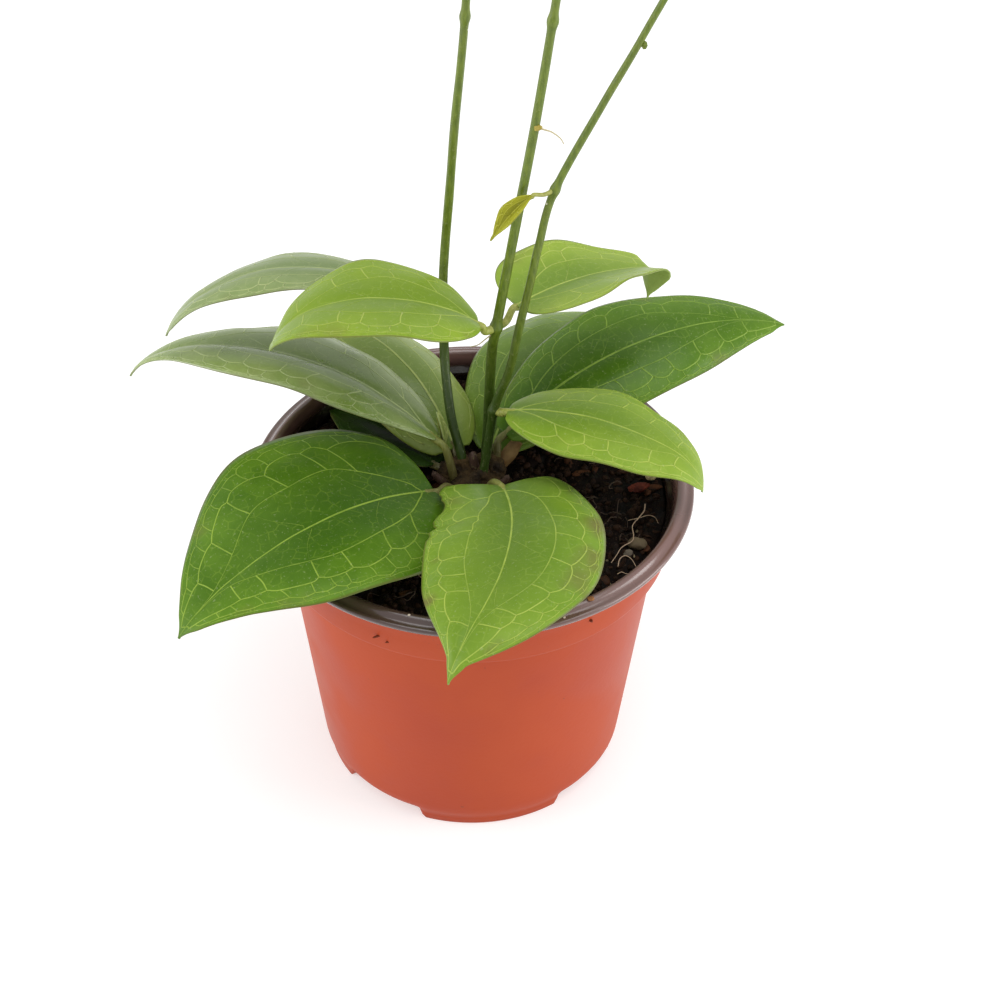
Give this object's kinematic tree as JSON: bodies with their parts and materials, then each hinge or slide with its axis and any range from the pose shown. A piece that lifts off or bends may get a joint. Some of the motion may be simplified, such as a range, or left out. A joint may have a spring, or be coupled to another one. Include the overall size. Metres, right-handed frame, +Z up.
{
  "type": "potted plant",
  "caption": "Young hoya in a thin orange nursery pot: broad pointed leaves with netted veins on a woody crown, and slim vines rising from dark potting mix.",
  "frame": {"origin": "middle of the pot's base, on the plane it stands on", "axes": "+Z up; -Y is the front, the side seen in the picture; +X to the right as seen from the front"},
  "size_m": [0.184, 0.1701, 0.312],
  "materials": {
    "pot": "satin thin moulded plastic in brick orange, with a greyed rim",
    "soil": null,
    "woody_crown": "rough old wood at the foot of the stems",
    "vine_left": null,
    "vine_middle": null,
    "vine_right": null,
    "leaf_far_left": null,
    "leaf_upper_left": null,
    "leaf_mid_left": null,
    "leaf_back_left": null,
    "leaf_under_left": null,
    "leaf_upper_right": null,
    "leaf_right": null,
    "leaf_back": null,
    "leaf_right_front": null,
    "leaf_front": null,
    "leaf_left_front": null,
    "leaf_young": null,
    "bud_leaf": null
  },
  "bodies": {
    "root": {"pot": "pot", "soil": "soil", "woody_crown": "woody_crown", "vine_left": "vine_left", "vine_middle": "vine_middle", "vine_right": "vine_right", "leaf_far_left": "leaf_far_left", "leaf_upper_left": "leaf_upper_left", "leaf_mid_left": "leaf_mid_left", "leaf_back_left": "leaf_back_left", "leaf_under_left": "leaf_under_left", "leaf_upper_right": "leaf_upper_right", "leaf_right": "leaf_right", "leaf_back": "leaf_back", "leaf_right_front": "leaf_right_front", "leaf_front": "leaf_front", "leaf_left_front": "leaf_left_front", "leaf_young": "leaf_young", "bud_leaf": "bud_leaf"}
  },
  "joints": []
}
